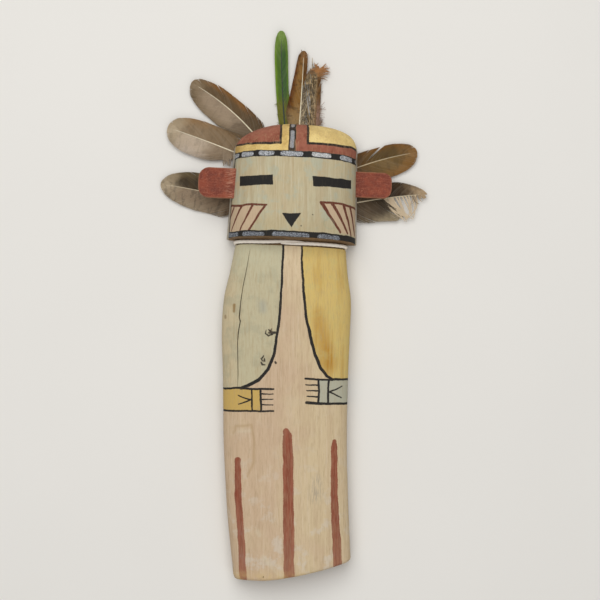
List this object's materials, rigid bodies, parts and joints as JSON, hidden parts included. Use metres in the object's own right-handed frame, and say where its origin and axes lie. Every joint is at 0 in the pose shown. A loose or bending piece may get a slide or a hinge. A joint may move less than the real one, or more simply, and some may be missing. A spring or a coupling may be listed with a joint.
{
  "type": "kachina doll",
  "caption": "Flat-backed carved wooden kachina doll with a half-round painted head, let-in ears, a neck cord and feathers, lying on its back.",
  "frame": {"origin": "on the flat back of the body, in its middle across, half way from sole to crown", "axes": "+Y from the feet towards the head, +Z out of the face, away from the surface it lies on, +X to the right of someone who looks down on it"},
  "size_m": [0.1338, 0.2743, 0.032],
  "materials": {
    "painted_root": "thin matte earth paint on carved cottonwood root",
    "red_ears": "thin matte red paint, worn at the edges",
    "cord": "twisted white cotton",
    "brown_feather": "natural brown and buff feather",
    "green_feather": "natural green feather, slightly glossy"
  },
  "bodies": {
    "root": {"figure": "painted_root", "ear_left": "red_ears", "ear_right": "red_ears", "neck_cord": "cord", "feather_left_top": "brown_feather", "feather_left_middle": "brown_feather", "feather_left_low": "brown_feather", "feather_green": "green_feather", "feather_rust": "brown_feather", "feather_frayed": "brown_feather", "feather_right_upper": "brown_feather", "feather_right_low": "brown_feather"}
  },
  "joints": []
}
